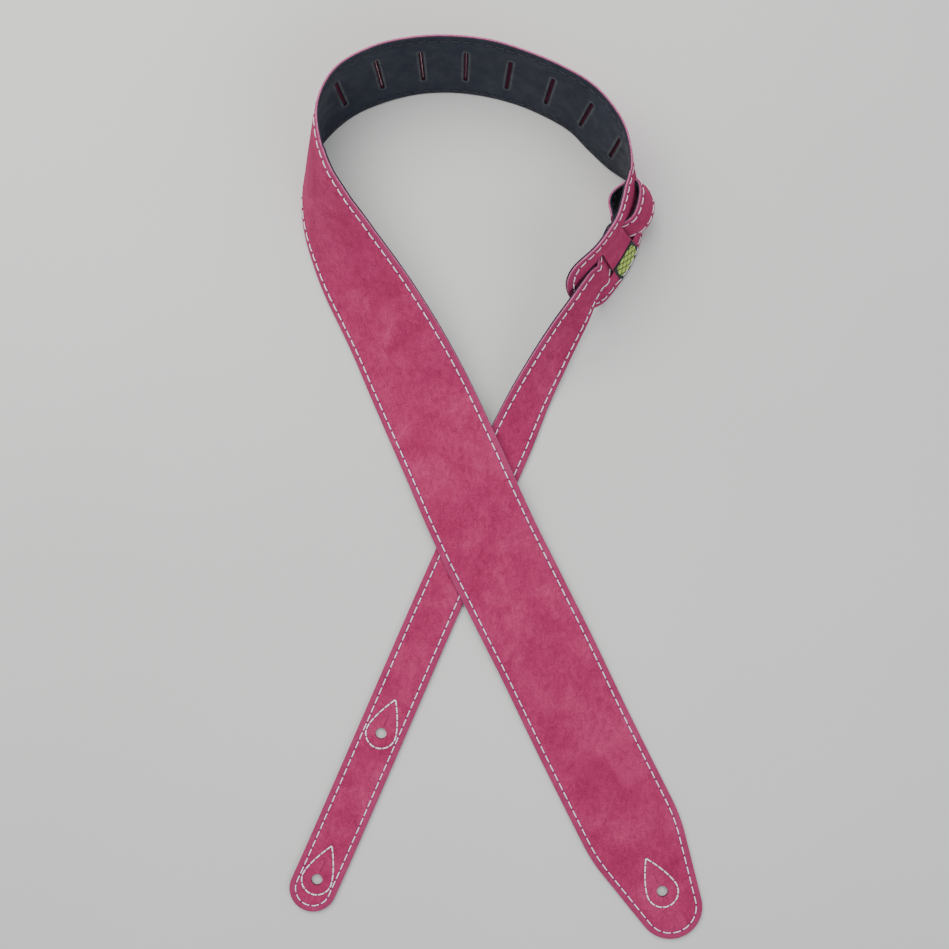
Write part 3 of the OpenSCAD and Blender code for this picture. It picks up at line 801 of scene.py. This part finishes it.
def leathers(main_seams, tail_seams):
    """The four cut plies, with the seams that hold them together pressed into them."""
    button_hole = keyhole(BUTTON_SETBACK, 1)
    tail_holes = [keyhole(TAIL_END_HOLE, -1), keyhole(TAIL_INNER_HOLE, -1),
                  rounded_slot(LOCK_SLIT, OPEN_WIDTH)]
    made = {}
    for part, ribbon, half_at, seams, suede_holes, lining_holes in (
            ("main", MAIN, main_half_at, main_seams, [button_hole] + main_slots(NAP_GAP),
             [button_hole] + main_slots(SLOT_WIDTH)),
            ("tail", TAIL, tail_half_at, tail_seams, tail_holes, tail_holes)):
        cut = outline(ribbon.length, half_at, 0.0, CUT_SPACING)
        face = dents(seams, cut, groove=0.16, prick=0.22, roll=0.22)
        made[part + "_suede"] = ply(part + "_suede_ply", ribbon, cut, suede_holes, seams,
                                    (0.0, SUEDE), CUT_ROUND["suede"], face, undented)
        under = dents(seams, cut, groove=0.14, prick=0.16, roll=0.10)
        made[part + "_backing"] = ply(part + "_lining_ply", ribbon, cut, lining_holes, seams,
                                      (-BACKING, 0.0), CUT_ROUND["lining"], undented, under)
    return made


def over_label(p):
    """How far the edge stitches are raised where they run over the label."""
    near = np.abs(p[..., 0] - LABEL_MIDDLE) - LABEL_LENGTH / 2
    return np.where(p[..., 1] > 0, np.clip(1 - near / 1.5, 0, 1), 0) * (LABEL_THICK + THREAD_GAP)


def all_stitches(main_seams, tail_seams):
    """Needle and bobbin stitches of every seam, by the name of the node they stand for."""
    made = {}
    for part, ribbon, seam, radius, lift in (
            ("main", MAIN, main_seams[0], EDGE_THREAD_R, over_label),
            ("main_hole", MAIN, main_seams[1], DROP_THREAD_R, None),
            ("tail", TAIL, tail_seams[0], EDGE_THREAD_R, None),
            ("tail_end_hole", TAIL, tail_seams[1], DROP_THREAD_R, None),
            ("tail_inner_hole", TAIL, tail_seams[2], DROP_THREAD_R, None)):
        made[part + "_top_thread"] = stitches(part + "_needle_stitches", ribbon, seam,
                                              SUEDE - NEEDLE_SINK, 1, radius, lift)
        made[part + "_under_thread"] = stitches(part + "_bobbin_stitches", ribbon, seam,
                                                -BACKING + BOBBIN_SINK, -1, BOBBIN_R)
    return made


def label():
    """The woven patch: a folded ribbon with slightly raised hems."""
    nu, nv = 42, 38
    u, v = np.meshgrid(np.linspace(0, 1, nu), np.linspace(0, 1, nv), indexing="ij")
    rim = np.minimum(np.minimum(u, 1 - u) * LABEL_LENGTH, np.minimum(v, 1 - v) * LABEL_WIDTH)
    hem = 0.12 * np.exp(-((rim - 1.0) / 0.8) ** 2)
    weave = 0.05 * np.sin(u * 130) * np.sin(v * 117)
    drop = 0.3 * np.exp(-(rim / 0.35) ** 2)
    s0, s1 = LABEL_MIDDLE - LABEL_LENGTH / 2, LABEL_MIDDLE + LABEL_LENGTH / 2
    w1 = MAIN_HALF - LABEL_MARGIN
    w0 = w1 - LABEL_WIDTH
    s, w = s0 + u * (s1 - s0), w0 + v * (w1 - w0)
    top = MAIN.place(s, w, SUEDE + LABEL_THICK - 0.15 + (hem + weave) - drop)
    under = MAIN.place(s, w, SUEDE + THREAD_GAP)
    grid = np.arange(nu * nv).reshape(nu, nv)
    a, b, c, d = (g.ravel() for g in (grid[:-1, :-1], grid[1:, :-1], grid[1:, 1:], grid[:-1, 1:]))
    loop = np.concatenate([grid[:, 0], grid[-1, 1:], grid[-2::-1, -1], grid[0, -2:0:-1]])
    after = np.roll(loop, -1)
    faces = np.vstack([np.column_stack([a, b, c, d]),
                       np.column_stack([d, c, b, a]) + nu * nv,
                       np.column_stack([loop, loop + nu * nv, after + nu * nv, after])])
    flat = np.column_stack([u.ravel(), v.ravel()])
    return mesh_object("label_patch", np.vstack([top.reshape(-1, 3), under.reshape(-1, 3)]),
                       faces, np.vstack([flat, flat]))


# ---- the stage ----
def area_light(name, place, aim, size, power, colour):
    """A round soft light at a place, turned to its aim."""
    light = bpy.data.lights.new(name, "AREA")
    light.shape = "DISK"
    light.size, light.energy, light.color = size, power, colour
    lamp = bpy.data.objects.new(name, light)
    lamp.location = place
    lamp.rotation_euler = (Vector(aim) - Vector(place)).to_track_quat("-Z", "Y").to_euler()
    bpy.context.scene.collection.objects.link(lamp)


def stage():
    """Pale floor, soft overhead light and the camera straight above the strap."""
    mesh = bpy.data.meshes.new("floor")
    corners = [(-1, -1), (1, -1), (1, 1), (-1, 1)]
    mesh.from_pydata([(x * FLOOR_HALF, y * FLOOR_HALF, 0) for x, y in corners], [],
                     [(0, 1, 2, 3)])
    floor = bpy.data.objects.new("floor", mesh)
    bpy.context.scene.collection.objects.link(floor)
    floor.data.materials.append(floor_material())

    area_light("sky_light", **SKY_LIGHT)
    area_light("fill_light", **FILL_LIGHT)
    world = bpy.data.worlds.new("room")
    world.use_nodes = True
    feed(world.node_tree, world.node_tree.nodes["Background"],
         {"Color": ROOM_COLOUR, "Strength": ROOM_STRENGTH})
    bpy.context.scene.world = world

    data = bpy.data.cameras.new("camera")
    data.sensor_width = data.sensor_height = SENSOR
    data.angle = 2 * math.atan(VIEW_HALF / CAMERA_HEIGHT)
    data.clip_start = 0.01
    camera = bpy.data.objects.new("camera", data)
    camera.location = (-BOX_MIDDLE[0] * MM, -BOX_MIDDLE[1] * MM, CAMERA_HEIGHT)
    bpy.context.scene.collection.objects.link(camera)
    bpy.context.scene.camera = camera


def dress(obj, material, cad_node):
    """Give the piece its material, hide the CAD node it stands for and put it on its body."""
    obj.data.materials.append(material)
    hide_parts(cad_node)
    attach(obj, "root")


def build():
    stage()
    suede, lining = suede_material(), lining_material()
    white = thread_material("white_thread", (0.94, 0.80, 0.90), (1.0, 0.93, 0.99))
    dark = thread_material("dark_thread", (0.008, 0.009, 0.014), (0.03, 0.033, 0.045))
    main_seams, tail_seams = all_seams()
    plies = leathers(main_seams, tail_seams)
    for name, obj in plies.items():
        is_suede = name.endswith("suede")
        dress(obj, suede if is_suede else lining, name)
    for name, obj in all_stitches(main_seams, tail_seams).items():
        top = name.endswith("top_thread")
        dress(obj, white if top else dark, name)
    dress(label(), label_material(), "woven_label")


build()
